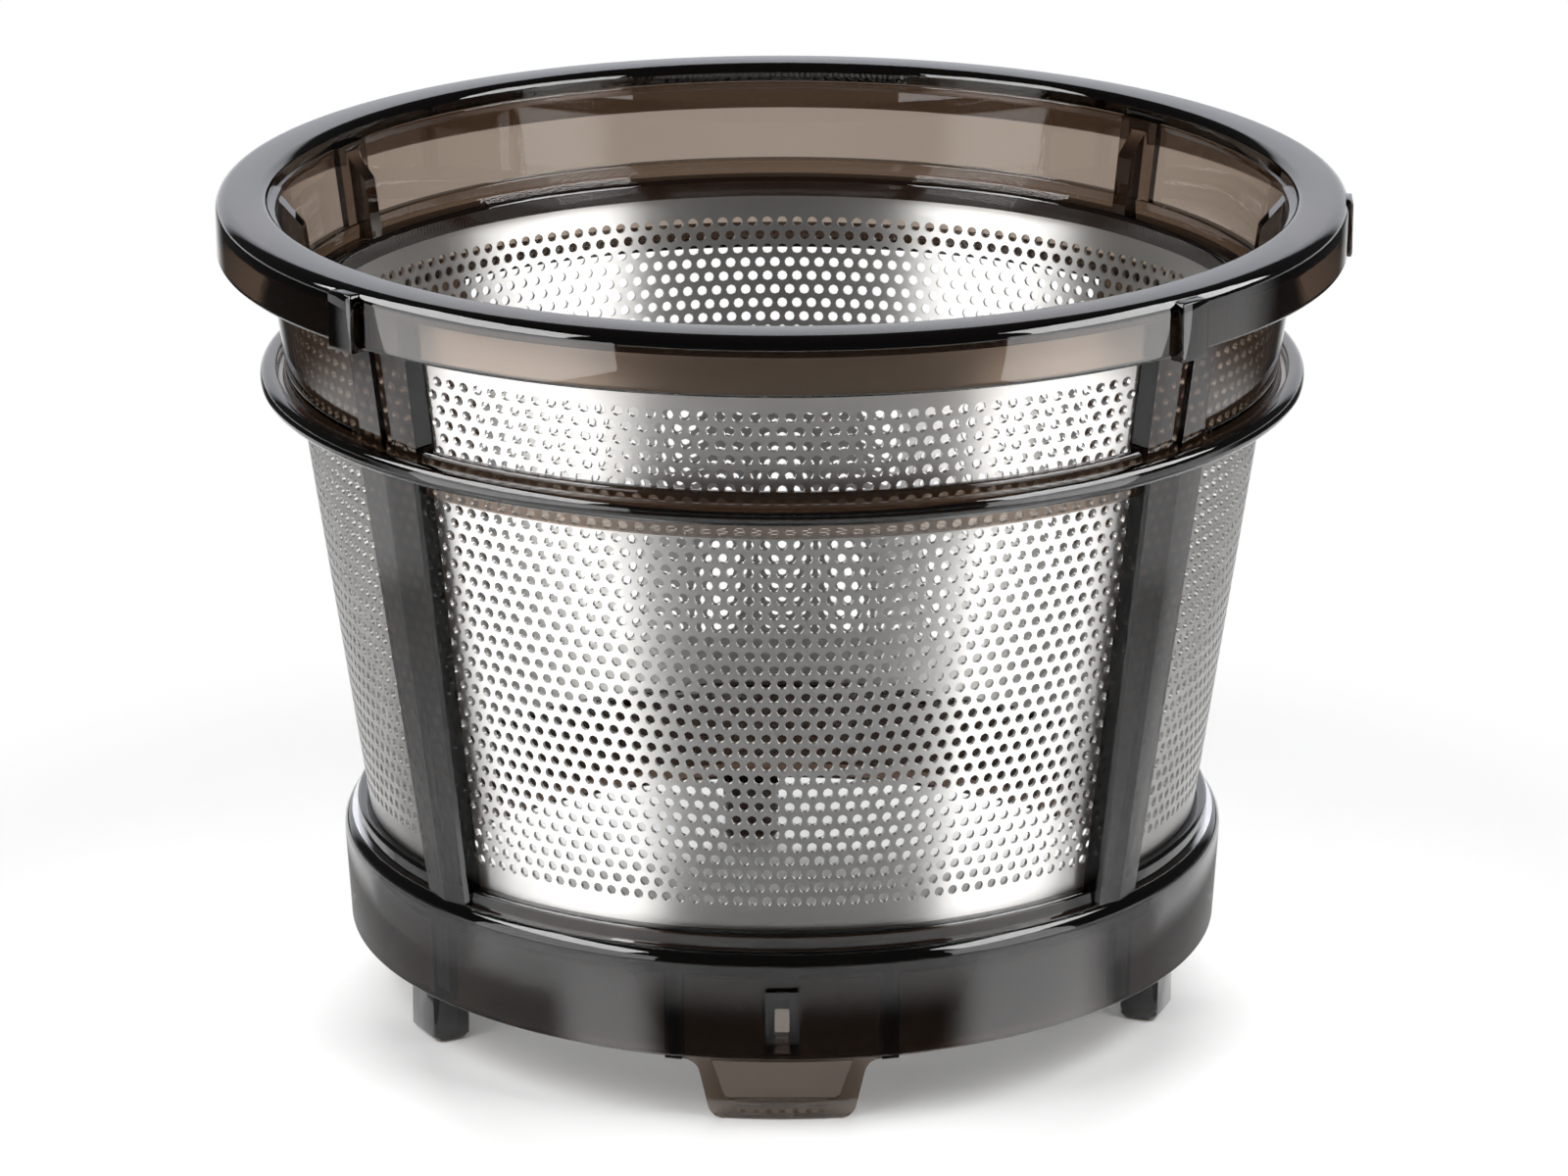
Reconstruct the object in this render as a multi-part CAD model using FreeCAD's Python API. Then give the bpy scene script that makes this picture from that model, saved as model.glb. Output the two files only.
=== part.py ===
import FreeCAD, Part
import math
import os

# Juicer mesh screen: a smoke-clear moulded basket frame and the perforated steel cone set in it.
# Millimetres, +Z up. The origin is on the axis of the cone, in the plane of the feet.
# Bearings are degrees from the front (-Y), growing towards the right (+X).

# Overall
total_h = 88.5
foot_drop = 7.5
# How far moulded features run into each other where they join
lap = 0.4

# Screen: a cone of thin sheet rolled in narrow flats and welded, taller over the flats at the front
screen_seat_r = 44.5
screen_seat_rise = 10.3
screen_draft = 8.16
sheet = 0.4
fit = 0.05
back_drop = 12.1
flats = 40
front_flats = 21

# Perforation: a coarse staggered grid of openings stands for the fine punched holes of the sheet
hole_w = 5.2
hole_h = 6.0
hole_rows = 5
plain_low = 7.5
plain_high = 11.0

# Rim: flat top plate, rolled outer edge and a hanging skirt
rim_width = 6.4
rim_cover = 0.32
rim_plate = 2.2
rim_round = 1.7
rim_bevel = 1.8
skirt_h = 6.1
skirt_wall = 1.5

# Collar: the clear wall moulded over the sheet between the rim and the middle ring
skin = 0.95
window_bearing = 42.4
window_head = 2.0
ledge_h = 2.2
ledge_in = 0.5

# Inner ribs of the collar, with sloped heads; two of them stand on wide pads
rib_w = 2.0
rib_depth = 2.6
rib_slope = 3.0
pad_w = 5.4
pad_rise = 0.8
pad_bearings = (-118.0, 132.0)

# Middle ring and the pairs of bars that join it to the rim
mid_reach = 3.73
mid_h = 2.7
mid_drop = 18.6
mid_round = 1.2
bar_rise = 0.9
slot_bearing = 48.6
slot_span = 1.7
bar_end_bearing = 53.4

# Lower uprights, wider at the head, with a shallow crease down the outer face
upright_bearing = 48.7
upright_depth = 2.0
upright_head_w = 9.4
upright_foot_w = 6.6
upright_crease = 0.4

# Base ring: outer skirt, cored channel, inner ring and the lip that holds the sheet
base_reach = 3.5
base_taper = 0.9
base_h = 12.0
base_wall = 1.3
base_shoulder = 1.6
seat_shoulder = 0.2
inner_ring_wall = 2.0
inner_ring_drop = 1.1
lip_w = 0.75
lip_rise = 1.7
web_bearings = (-50.3, 50.3)
web_w = 2.6
stop_web_bearings = (-14.0, 14.0)
stop_web_w = 1.8

# Latch pocket in a raised pad at the front of the base ring
pocket_w = 1.4
pocket_h = 2.9
pocket_rise = 3.6
pocket_floor = 0.6
pocket_pad_w = 3.6
pocket_pad_rise = 0.25
pocket_pad_margin = 0.5

# Front tab: a wide foot with a framed recess and a slot
tab_w = 14.8
tab_flare = 1.5
tab_round = 1.7
tab_frame = 1.5
tab_foot_frame = 2.1
tab_recess = 0.6
tab_slot_rise = 0.7
tab_slot_h = 0.7
tab_slot_inset = 1.2
tab_slot_depth = 0.4
tab_set_back = 0.3

# Block feet under the inner ring
foot_bearings = (-61.0, 70.0, 185.0)
foot_w = 6.2
foot_depth = 4.2
foot_set_in = 0.8
foot_ease = 0.7
foot_neck_h = 1.0
foot_neck_w = 4.0

# Locating keys on the rim: a pair at the front and a low one at the right
key_bearings = (-46.7, 42.6)
low_key_bearing = 86.5
key_w = 3.6
key_rise = 1.0
low_key_rise = 0.4
key_top_drop = 0.4
key_foot_drop = 0.5
key_ease = 0.3

# Angles and levels
flat_angle = 360.0 / flats
step_bearing = front_flats * flat_angle / 2
base_z = foot_drop
seat_z = base_z + screen_seat_rise
base_top_z = base_z + base_h
lip_z = base_top_z + lip_rise
web_top_z = seat_z - base_wall
ring_foot_z = base_z - inner_ring_drop
plate_z = total_h - rim_plate
skirt_z = total_h - skirt_h
window_top_z = skirt_z - window_head
mid_z = total_h - mid_drop
mid_foot_z = mid_z - mid_h
back_z = plate_z - back_drop
ledge_z = back_z + ledge_h

axis = FreeCAD.Vector(0, 0, 1)
origin = FreeCAD.Vector(0, 0, 0)


def sheet_r(z):
    """Outer radius of the sheet at a height."""
    return screen_seat_r + (z - seat_z) * math.tan(math.radians(screen_draft))


def bed_r(z):
    """Radius of the bed in the mouldings that the sheet lies against."""
    return sheet_r(z) + fit


# Radii that follow from the sheet
rim_inner_r = sheet_r(plate_z) - sheet - rim_cover
rim_r = rim_inner_r + rim_width
mid_r = sheet_r(mid_z) + mid_reach
base_r = screen_seat_r + base_reach
base_foot_r = base_r - base_taper
lip_r = sheet_r(lip_z) + lip_w
ring_r = screen_seat_r + seat_shoulder
bore_r = ring_r - inner_ring_wall


def outline(points):
    """Closed wire in the XZ plane. A point (a, b, radius, flats) has its corner eased by that many flats."""
    corners = []
    for i, point in enumerate(points):
        here = FreeCAD.Vector(point[0], 0, point[1])
        if len(point) == 2:
            corners.append(here)
            continue
        radius, flats = point[2:]
        before = points[i - 1]
        after = points[(i + 1) % len(points)]
        u = (FreeCAD.Vector(before[0], 0, before[1]) - here).normalize()
        v = (FreeCAD.Vector(after[0], 0, after[1]) - here).normalize()
        half = u.getAngle(v) / 2
        centre = here + (u + v).normalize() * (radius / math.sin(half))
        start = here + u * (radius / math.tan(half)) - centre
        end = here + v * (radius / math.tan(half)) - centre
        sweep = math.pi - 2 * half
        for k in range(flats + 1):
            angle = sweep * k / flats
            arm = start * math.sin(sweep - angle) + end * math.sin(angle)
            corners.append(centre + arm * (1 / math.sin(sweep)))
    return Part.makePolygon(corners + corners[:1])


def turned(points, first=-180.0, last=180.0):
    """Solid of revolution of an outline between two bearings."""
    solid = Part.Face(outline(points)).revolve(origin, axis, last - first)
    solid.rotate(origin, axis, first - 90)
    return solid


def placed(solid, bearing):
    """Turn a solid drawn along +X to its bearing."""
    copy = solid.copy()
    copy.rotate(origin, axis, bearing - 90)
    return copy


def block(r0, r1, width, z0, z1):
    """Radial block along +X."""
    return Part.makeBox(r1 - r0, width, z1 - z0, FreeCAD.Vector(r0, -width / 2, z0))


def curtain(points, r0, r1):
    """Prism along +X of an outline given as (sideways, height) points."""
    wire = outline(points)
    wire.rotate(origin, axis, 90)
    wire.translate(FreeCAD.Vector(r0, 0, 0))
    return Part.Face(wire).extrude(FreeCAD.Vector(r1 - r0, 0, 0))


def screen_flat(top, grow):
    """One flat of the sheet, along +X, grown on both faces by a clearance."""
    half = math.radians(flat_angle / 2)
    rings = []
    for z in (seat_z, top):
        inner = sheet_r(z) - sheet - grow
        outer = sheet_r(z) + grow
        rings.append([
            FreeCAD.Vector(r * math.cos(half), side * r * math.sin(half), z)
            for r, side in ((inner, -1), (outer, -1), (outer, 1), (inner, 1))
        ])
    low, high = rings
    quads = [low, high] + [[low[k - 1], low[k], high[k], high[k - 1]] for k in range(4)]
    faces = [Part.Face(Part.makePolygon(quad + quad[:1])) for quad in quads]
    return Part.makeSolid(Part.makeShell(faces))


def punch(z):
    """Punch square to a flat of the sheet, at a height."""
    pin = block(-2 * sheet, 2 * sheet, hole_w, -hole_h / 2, hole_h / 2)
    pin.rotate(origin, FreeCAD.Vector(0, 1, 0), screen_draft)
    pin.translate(FreeCAD.Vector(sheet_r(z), 0, z))
    return pin


def screen_shell(grow, punched):
    """All flats of the sheet, high at the front and low at the back; the holes stagger from row to row."""
    low = seat_z + plain_low
    rise = (plate_z - plain_high - low) / (hole_rows - 1)
    heights = [low + rise * row for row in range(hole_rows)]
    pieces = []
    for k in range(flats):
        bearing = flat_angle * (k - (front_flats - 1) // 2)
        top = plate_z if k < front_flats else back_z
        flat = screen_flat(top, grow)
        if punched:
            flat = flat.cut([punch(z) for z in heights[(k + 1) % 2::2] if z + hole_h < top])
        pieces.append(placed(flat, bearing))
    return pieces[0].multiFuse(pieces[1:]).removeSplitter()


def rim():
    """Flat plate with a rolled outer edge and the skirt that hangs from it."""
    return turned([
        (rim_inner_r, plate_z),
        (rim_inner_r + rim_bevel, total_h),
        (rim_r, total_h, rim_round, 2),
        (rim_r, skirt_z),
        (rim_r - skirt_wall, skirt_z),
        (rim_r - skirt_wall, plate_z),
    ])


def collar():
    """Clear wall over the sheet, open at the front window, with a pair of bars at each side of it."""
    def wall(z0, rise, first, last):
        z1 = plate_z + lap
        return turned([
            (bed_r(z0), z0),
            (sheet_r(z0) + rise, z0),
            (sheet_r(z1) + rise, z1),
            (bed_r(z1), z1),
        ], first, last)
    low = mid_z
    pieces = [
        wall(low, skin, window_bearing, 360 - window_bearing),
        wall(window_top_z, skin, -window_bearing, window_bearing),
    ]
    for first, last in (
        (window_bearing, slot_bearing - slot_span / 2),
        (slot_bearing + slot_span / 2, bar_end_bearing),
    ):
        pieces.append(wall(low, skin + bar_rise, first, last))
        pieces.append(wall(low, skin + bar_rise, -last, -first))
    return pieces


def collar_inside():
    """Ledge over the low part of the sheet, and the ribs with their pads."""
    inner = sheet_r(back_z) - sheet - ledge_in
    pieces = [turned([
        (inner, back_z),
        (inner, ledge_z),
        (sheet_r(ledge_z), ledge_z),
        (sheet_r(back_z), back_z),
    ], step_bearing, 360 - step_bearing)]
    wall_r = bed_r(ledge_z)
    wire = outline([
        (wall_r + skin / 2, ledge_z - lap),
        (wall_r - rib_depth, ledge_z - lap),
        (wall_r - rib_depth, plate_z - lap - rib_slope),
        (wall_r - lap, plate_z - lap),
        (bed_r(plate_z) + lap, plate_z - lap),
    ])
    wire.translate(FreeCAD.Vector(0, -rib_w / 2, 0))
    rib = Part.Face(wire).extrude(FreeCAD.Vector(0, rib_w, 0))
    pad_half = math.degrees(pad_w / 2 / wall_r)
    groove = screen_shell(fit, False)
    for bearing in (-step_bearing, step_bearing):
        pieces.append(placed(rib, bearing).cut(groove))
    for bearing in pad_bearings:
        pieces.append(placed(rib, bearing))
        pieces.append(turned([
            (bed_r(ledge_z) - pad_rise, ledge_z - lap),
            (bed_r(ledge_z) + lap, ledge_z - lap),
            (bed_r(plate_z) + lap, plate_z + lap),
            (bed_r(plate_z) - pad_rise, plate_z + lap),
        ], bearing - pad_half, bearing + pad_half))
    return pieces


def middle_ring():
    return turned([
        (bed_r(mid_foot_z), mid_foot_z),
        (mid_r, mid_foot_z, mid_round, 1),
        (mid_r, mid_z, mid_round, 1),
        (bed_r(mid_z), mid_z),
    ])


def uprights():
    """Lower uprights lofted from the base ring to the middle ring."""
    sections = []
    for z, width in ((base_top_z - lap, upright_foot_w), (mid_foot_z + lap, upright_head_w)):
        outer = sheet_r(z) + upright_depth
        sections.append(Part.makePolygon([
            FreeCAD.Vector(sheet_r(z) - sheet, -width / 2, z),
            FreeCAD.Vector(outer, -width / 2, z),
            FreeCAD.Vector(outer + upright_crease, 0, z),
            FreeCAD.Vector(outer, width / 2, z),
            FreeCAD.Vector(sheet_r(z) - sheet, width / 2, z),
            FreeCAD.Vector(sheet_r(z) - sheet, -width / 2, z),
        ]))
    upright = Part.makeLoft(sections, True, True)
    low = base_top_z - lap
    high = mid_foot_z + lap
    upright = upright.cut(turned([(0, low), (bed_r(low), low), (bed_r(high), high), (0, high)]))
    bearings = (-upright_bearing, upright_bearing, 180 - upright_bearing, upright_bearing - 180)
    return [placed(upright, b) for b in bearings]


def base_ring():
    """Skirted ring, cored from below, with webs across the channel and a raised pad for the latch pocket."""
    pieces = [turned([
        (bore_r, ring_foot_z),
        (bore_r, seat_z),
        (bed_r(seat_z), seat_z),
        (bed_r(lip_z), lip_z),
        (lip_r, lip_z),
        (lip_r, base_top_z),
        (base_r, base_top_z, base_shoulder, 1),
        (base_foot_r, base_z),
        (base_foot_r - base_wall, base_z),
        (base_foot_r - base_wall, web_top_z),
        (ring_r, web_top_z),
        (ring_r, ring_foot_z),
    ])]
    webs = [(b, web_w) for b in web_bearings] + [(b, stop_web_w) for b in stop_web_bearings]
    for bearing, width in webs + [(0, pocket_pad_w)]:
        web = block(ring_r - lap, base_foot_r - base_wall / 2, width, base_z, web_top_z + lap)
        pieces.append(placed(web, bearing))
    def skirt_r(z):
        return base_foot_r + base_taper * (z - base_z) / base_h
    low = base_z + pocket_rise - pocket_pad_margin
    high = base_z + pocket_rise + pocket_h + pocket_pad_margin
    pad_half = math.degrees(pocket_pad_w / 2 / base_r)
    pieces.append(turned([
        (base_foot_r - lap, low),
        (skirt_r(low) + pocket_pad_rise, low),
        (skirt_r(high) + pocket_pad_rise, high),
        (base_foot_r - lap, high),
    ], -pad_half, pad_half))
    return pieces


def latch_pocket():
    low = base_z + pocket_rise
    return placed(block(ring_r + pocket_floor, base_r + base_wall, pocket_w, low, low + pocket_h), 0)


def front_tab():
    """Wide foot with a flat back and a recessed face that follows the inner ring, slotted near its foot."""
    half = tab_w / 2
    flare = half + tab_flare
    plate = curtain([
        (-flare - tab_round, ring_foot_z + lap),
        (-flare - tab_round, ring_foot_z),
        (-flare, ring_foot_z, tab_round, 1),
        (-half, 0, tab_round, 2),
        (half, 0, tab_round, 2),
        (flare, ring_foot_z, tab_round, 1),
        (flare + tab_round, ring_foot_z),
        (flare + tab_round, ring_foot_z + lap),
    ], bore_r + tab_set_back, ring_r + inner_ring_wall)
    disc = turned([(0, -lap), (ring_r, -lap), (ring_r, base_z), (0, base_z)])
    tab = placed(plate, 0).common(disc)
    inside = half - tab_frame
    recess = curtain([
        (-inside - tab_flare, ring_foot_z),
        (-inside, tab_foot_frame, tab_round / 2, 1),
        (inside, tab_foot_frame, tab_round / 2, 1),
        (inside + tab_flare, ring_foot_z),
    ], ring_r - tab_recess, ring_r + inner_ring_wall)
    reach = inside - tab_slot_inset
    slot = block(ring_r - tab_recess - tab_slot_depth, ring_r + inner_ring_wall, 2 * reach,
                 tab_slot_rise, tab_slot_rise + tab_slot_h)
    return tab.cut(placed(recess, 0)).cut(placed(slot, 0))


def block_feet():
    """Feet eased below and at the sides, each hung from the inner ring by a neck that leaves the bore clear."""
    out = ring_r - foot_set_in
    foot = block(out - foot_depth, out, foot_w, 0, ring_foot_z - foot_neck_h)
    foot = foot.makeChamfer(foot_ease, [e for e in foot.Edges if e.BoundBox.ZMin < foot_ease])
    neck = block(bore_r + fit, out - lap, foot_neck_w, foot_ease, ring_foot_z + lap)
    feet = []
    for bearing in foot_bearings:
        feet.append(placed(foot, bearing))
        feet.append(placed(neck, bearing))
    return feet


def keys():
    low = skirt_z - key_foot_drop
    solids = []
    for bearing, rise in [(b, key_rise) for b in key_bearings] + [(low_key_bearing, low_key_rise)]:
        bar = block(rim_r - skirt_wall / 2, rim_r + rise, key_w, low, total_h - key_top_drop)
        front = [e for e in bar.Edges if e.BoundBox.XMin > rim_r]
        solids.append(placed(bar.makeChamfer(key_ease, front), bearing))
    return solids


# Steel screen
screen = screen_shell(0.0, True)

# Basket frame: one moulding, bedded on the sheet
pieces = [rim(), middle_ring(), front_tab()]
pieces += collar() + collar_inside() + uprights() + base_ring() + block_feet() + keys()
frame = pieces[0].multiFuse(pieces[1:])
frame = frame.cut(latch_pocket()).removeSplitter()

os.makedirs("parts", exist_ok=True)
frame.Solids[0].exportStep("parts/basket_frame.step")
screen.Solids[0].exportStep("parts/mesh_screen.step")
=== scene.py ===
import math
import bmesh
import bpy
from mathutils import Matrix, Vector


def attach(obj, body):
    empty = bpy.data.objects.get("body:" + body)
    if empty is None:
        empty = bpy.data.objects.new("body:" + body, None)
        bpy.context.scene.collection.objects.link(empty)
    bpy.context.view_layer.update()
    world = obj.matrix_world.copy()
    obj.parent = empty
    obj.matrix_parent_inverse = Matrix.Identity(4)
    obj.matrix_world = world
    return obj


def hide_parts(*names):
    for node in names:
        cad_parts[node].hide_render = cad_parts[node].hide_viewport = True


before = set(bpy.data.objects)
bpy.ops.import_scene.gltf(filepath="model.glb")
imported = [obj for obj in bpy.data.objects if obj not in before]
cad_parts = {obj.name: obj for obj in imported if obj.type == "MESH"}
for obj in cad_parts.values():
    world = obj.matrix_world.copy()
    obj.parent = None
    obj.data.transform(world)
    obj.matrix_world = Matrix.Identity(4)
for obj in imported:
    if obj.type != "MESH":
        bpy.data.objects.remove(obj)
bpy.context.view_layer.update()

scene = bpy.context.scene
scene.view_settings.view_transform = "Standard"


# Steel screen
# A cone of thin stainless sheet, punched in staggered rows, rolled with its brushing running round it and
# welded. The front part stands up to the rim; the back part ends lower, under the ledge of the frame.
MM = 0.001
SEAT_R, SEAT_Z, SLOPE, SHEET = 44.5, 17.8, math.tan(math.radians(8.16)), 0.4
COLUMNS_AROUND, FRONT_COLUMNS = 190, 100
COLUMN_PITCH, ROW_PITCH, FIRST_ROW, HOLE_D = 1.66, 1.543, 24.5, 1.1
OCTAGON_OVERSIZE = 1.03
FRONT_ROWS, BACK_ROWS = 36, 31
FRONT_TOP, BACK_TOP = 86.3, 74.2


def sheet_r(z):
    """Outer radius of the steel at a height, in millimetres."""
    return SEAT_R + (z - SEAT_Z) * SLOPE


def add(tree, kind, links=None, **settings):
    """A node with its settings, and its inputs given as values or as sockets to link from."""
    node = tree.nodes.new(kind)
    for name, value in settings.items():
        setattr(node, name, value)
    for key, value in (links or {}).items():
        socket = node.inputs[key]
        if isinstance(value, bpy.types.NodeSocket):
            tree.links.new(value, socket)
        else:
            socket.default_value = value
    return node


def calc(tree, operation, *values):
    """Result of a math node on values or sockets."""
    return add(tree, "ShaderNodeMath", dict(enumerate(values)), operation=operation).outputs[0]


def new_material(name):
    """A material with an empty node tree."""
    material = bpy.data.materials.new(name)
    material.use_nodes = True
    material.node_tree.nodes.clear()
    return material, material.node_tree


def brushed_screen_steel():
    """Bright stainless sheet, with fine brushing round the cone and a faint cloud in its tone."""
    material, tree = new_material("brushed_screen_steel")
    place = add(tree, "ShaderNodeTexCoord").outputs["Object"]
    axes = add(tree, "ShaderNodeSeparateXYZ", {0: place}).outputs
    bearing = calc(tree, "ARCTAN2", axes["X"], axes["Y"])
    along = add(tree, "ShaderNodeCombineXYZ", {
        "X": calc(tree, "MULTIPLY", bearing, 2.2),
        "Y": calc(tree, "MULTIPLY", axes["Z"], 2600.0),
    }).outputs[0]
    brushing = add(tree, "ShaderNodeTexNoise", {
        "Vector": along, "Scale": 1.0, "Detail": 3.0, "Roughness": 0.6,
    }).outputs[0]
    cloud = add(tree, "ShaderNodeTexNoise", {"Vector": place, "Scale": 45.0, "Detail": 2.0}).outputs[0]
    roughness = add(tree, "ShaderNodeMapRange", {
        "Value": brushing, "From Min": 0.25, "From Max": 0.75, "To Min": 0.36, "To Max": 0.46,
    }).outputs[0]
    tone = add(tree, "ShaderNodeMapRange", {"Value": cloud, "From Min": 0.3, "From Max": 0.7}).outputs[0]
    colour = add(tree, "ShaderNodeMix", {
        0: tone, 6: (0.66, 0.65, 0.63, 1), 7: (0.74, 0.73, 0.715, 1),
    }, data_type="RGBA").outputs[2]
    bump = add(tree, "ShaderNodeBump", {
        "Strength": 0.12, "Distance": 0.00002, "Height": brushing,
    }).outputs[0]
    tangent = add(tree, "ShaderNodeTangent", direction_type="RADIAL", axis="Z").outputs[0]
    shader = add(tree, "ShaderNodeBsdfPrincipled", {
        "Base Color": colour, "Metallic": 1.0, "Roughness": roughness, "Anisotropic": 1.0,
        "Anisotropic Rotation": 0.25, "Tangent": tangent, "Normal": bump,
    })
    add(tree, "ShaderNodeOutputMaterial", {"Surface": shader.outputs[0]})
    return material


def punched_cell():
    """One eight-sided hole in its patch of sheet, in units of the pitch, jointed for the staggered rows."""
    wide = HOLE_D * OCTAGON_OVERSIZE / 2 / COLUMN_PITCH
    high = HOLE_D * OCTAGON_OVERSIZE / 2 / ROW_PITCH
    ring = [(wide * math.cos(k * math.pi / 4), high * math.sin(k * math.pi / 4), 0) for k in range(8)]
    edge = [(0.5, 0.5, 0), (0, 0.5, 0), (-0.5, 0.5, 0), (-0.5, -0.5, 0), (0, -0.5, 0), (0.5, -0.5, 0)]
    faces = [
        (13, 8, 0), (8, 1, 0), (13, 0, 7), (8, 9, 2, 1), (9, 10, 3, 2),
        (10, 11, 4), (10, 4, 3), (11, 5, 4), (11, 12, 6, 5), (12, 13, 7, 6),
    ]
    mesh = bpy.data.meshes.new("punched_cell")
    mesh.from_pydata(ring + edge, [], faces)
    cell = bpy.data.objects.new("punched_cell", mesh)
    scene.collection.objects.link(cell)
    return cell


def perforated_sheet_tree():
    """Rows of punched cells with plain margins, rolled onto the cone and thickened to the sheet."""
    tree = bpy.data.node_groups.new("perforated_sheet", "GeometryNodeTree")
    sockets = {}
    for name, kind in (
        ("Columns", "NodeSocketInt"), ("Rows", "NodeSocketInt"), ("First column", "NodeSocketInt"),
        ("Columns around", "NodeSocketInt"), ("Row pitch", "NodeSocketFloat"),
        ("First row", "NodeSocketFloat"), ("Lower edge", "NodeSocketFloat"),
        ("Upper edge", "NodeSocketFloat"), ("Seat radius", "NodeSocketFloat"), ("Slope", "NodeSocketFloat"),
        ("Sheet", "NodeSocketFloat"), ("Punched cell", "NodeSocketObject"),
        ("Steel", "NodeSocketMaterial"),
    ):
        sockets[name] = tree.interface.new_socket(name, in_out="INPUT", socket_type=kind)
    tree.interface.new_socket("Geometry", in_out="OUTPUT", socket_type="NodeSocketGeometry")
    given = tree.nodes.new("NodeGroupInput").outputs
    index = add(tree, "GeometryNodeInputIndex").outputs[0]
    row = calc(tree, "FLOOR", calc(tree, "DIVIDE", index, given["Columns"]))
    column = calc(tree, "SUBTRACT", index, calc(tree, "MULTIPLY", row, given["Columns"]))
    stagger = calc(tree, "MULTIPLY", calc(tree, "MODULO", row, 2.0), 0.5)
    points = add(tree, "GeometryNodePoints", {
        "Count": calc(tree, "MULTIPLY", given["Columns"], given["Rows"]),
        "Position": add(tree, "ShaderNodeCombineXYZ", {
            "X": calc(tree, "ADD", column, stagger), "Y": row,
        }).outputs[0],
    }).outputs[0]
    cell = add(tree, "GeometryNodeObjectInfo", {"Object": given["Punched cell"]}).outputs["Geometry"]
    holes = add(tree, "GeometryNodeInstanceOnPoints", {"Points": points, "Instance": cell}).outputs[0]
    holes = add(tree, "GeometryNodeRealizeInstances", {"Geometry": holes}).outputs[0]

    across = calc(tree, "ADD", calc(tree, "MULTIPLY", given["Columns"], 2.0), 1.0)
    middle = calc(tree, "SUBTRACT", calc(tree, "MULTIPLY", given["Columns"], 0.5), 0.5)

    def margin(low, high, shift):
        grid = add(tree, "GeometryNodeMeshGrid", {
            "Size X": given["Columns"], "Size Y": calc(tree, "SUBTRACT", high, low),
            "Vertices X": across, "Vertices Y": 2,
        }).outputs["Mesh"]
        return add(tree, "GeometryNodeTransform", {
            "Geometry": grid,
            "Translation": add(tree, "ShaderNodeCombineXYZ", {
                "X": calc(tree, "ADD", middle, shift),
                "Y": calc(tree, "MULTIPLY", calc(tree, "ADD", low, high), 0.5),
            }).outputs[0],
        }).outputs[0]

    def rows_up(height):
        return calc(tree, "DIVIDE", calc(tree, "SUBTRACT", height, given["First row"]), given["Row pitch"])

    last = calc(tree, "SUBTRACT", given["Rows"], 1.0)
    last_shift = calc(tree, "MULTIPLY", calc(tree, "MODULO", last, 2.0), 0.5)
    flat = add(tree, "GeometryNodeJoinGeometry")
    for part in (
        margin(rows_up(given["Lower edge"]), -0.5, 0.0),
        margin(calc(tree, "ADD", last, 0.5), rows_up(given["Upper edge"]), last_shift),
        holes,
    ):
        tree.links.new(part, flat.inputs[0])
    flat = add(tree, "GeometryNodeMergeByDistance", {
        "Geometry": flat.outputs[0], "Distance": 0.01,
    }).outputs[0]

    position = add(tree, "GeometryNodeInputPosition").outputs[0]
    place = add(tree, "ShaderNodeSeparateXYZ", {0: position}).outputs
    turn = calc(tree, "DIVIDE", calc(
        tree, "MULTIPLY", calc(tree, "ADD", place["X"], given["First column"]), 2 * math.pi,
    ), given["Columns around"])
    height = calc(tree, "ADD", calc(tree, "MULTIPLY", place["Y"], given["Row pitch"]), given["First row"])
    rise = calc(tree, "SUBTRACT", height, given["Lower edge"])
    radius = calc(tree, "SUBTRACT", calc(
        tree, "ADD", calc(tree, "MULTIPLY", rise, given["Slope"]), given["Seat radius"],
    ), given["Sheet"])
    rolled = add(tree, "GeometryNodeSetPosition", {
        "Geometry": flat,
        "Position": add(tree, "ShaderNodeCombineXYZ", {
            "X": calc(tree, "MULTIPLY", radius, calc(tree, "SINE", turn)),
            "Y": calc(tree, "MULTIPLY", radius, calc(
                tree, "MULTIPLY", calc(tree, "COSINE", turn), -1.0,
            )),
            "Z": height,
        }).outputs[0],
    }).outputs[0]
    outer = add(tree, "GeometryNodeExtrudeMesh", {
        "Mesh": rolled, "Offset Scale": given["Sheet"], "Individual": False,
    }, mode="FACES").outputs[0]
    inner = add(tree, "GeometryNodeFlipFaces", {"Mesh": rolled}).outputs[0]
    closed = add(tree, "GeometryNodeJoinGeometry")
    tree.links.new(outer, closed.inputs[0])
    tree.links.new(inner, closed.inputs[0])
    closed = add(tree, "GeometryNodeMergeByDistance", {
        "Geometry": closed.outputs[0], "Distance": 0.00001,
    }).outputs[0]
    closed = add(tree, "GeometryNodeRealizeInstances", {"Geometry": closed}).outputs[0]
    closed = add(tree, "GeometryNodeSetMaterial", {
        "Geometry": closed, "Material": given["Steel"],
    }).outputs[0]
    add(tree, "NodeGroupOutput", {"Geometry": closed})
    return tree, {name: socket.identifier for name, socket in sockets.items()}


def settled(obj, name, sharp):
    """The evaluated shape of an object as a plain mesh of its own, smooth but for its sharp edges."""
    mesh = bpy.data.meshes.new_from_object(obj.evaluated_get(bpy.context.evaluated_depsgraph_get()))
    mesh.name = name
    mesh.polygons.foreach_set("use_smooth", [True] * len(mesh.polygons))
    mesh.set_sharp_from_angle(angle=math.radians(sharp))
    piece = bpy.data.objects.new(name, mesh)
    scene.collection.objects.link(piece)
    bpy.data.objects.remove(obj)
    return piece


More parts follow.
